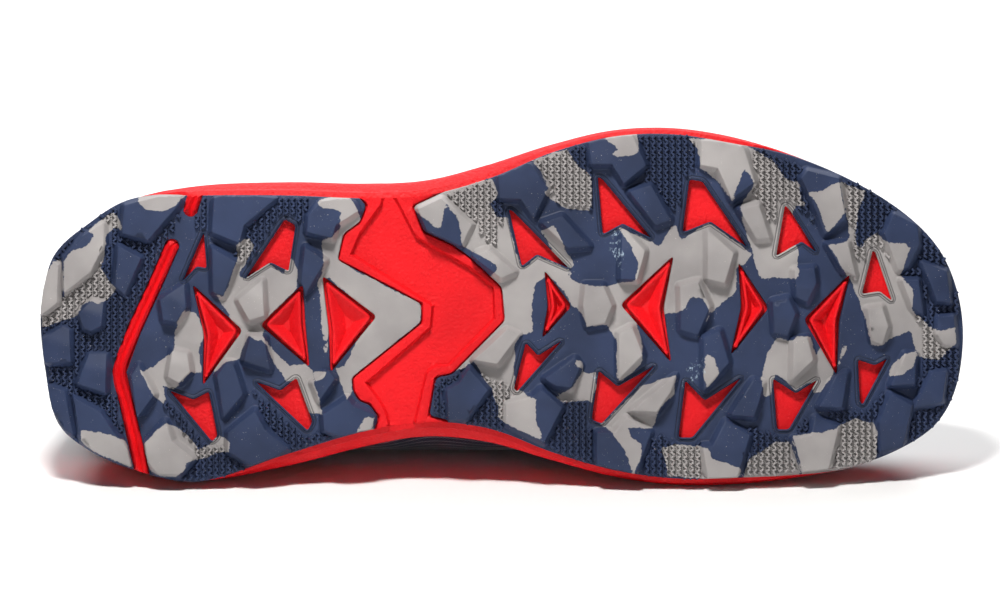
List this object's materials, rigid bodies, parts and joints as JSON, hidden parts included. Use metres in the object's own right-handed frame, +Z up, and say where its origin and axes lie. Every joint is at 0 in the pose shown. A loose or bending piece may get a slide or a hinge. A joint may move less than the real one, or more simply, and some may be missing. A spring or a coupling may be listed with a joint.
{
  "type": "trail running shoe",
  "caption": "Right trail running shoe lying on its inner side, with a lugged two-part rubber outsole, foam midsole cup, hollow laced upper, tongue and insole.",
  "frame": {"origin": "middle of the bounding box on the floor that the shoe lies on", "axes": "+X from heel to toe, the tread looks along -Y and a little up, the lateral side is up along +Z"},
  "size_m": [0.3, 0.1286, 0.1137],
  "materials": {
    "red_foam": "fine-grained moulded foam",
    "camo_rubber": "matte two-colour rubber in navy and grey patches",
    "navy_mesh": "knitted mesh with fine pale waves",
    "navy_film": "satin bonded film",
    "tongue_cloth": "padded knit",
    "insole_cloth": "flat woven cloth",
    "lace_cord": "flat braid"
  },
  "bodies": {
    "root": {"midsole": "red_foam", "outsole_heel": "camo_rubber", "outsole_forefoot": "camo_rubber", "upper": "navy_mesh", "toe_cap": "navy_film", "heel_counter": "navy_film", "eyestay": "navy_film", "tongue": "tongue_cloth", "insole": "insole_cloth", "lace": "lace_cord"}
  },
  "joints": []
}
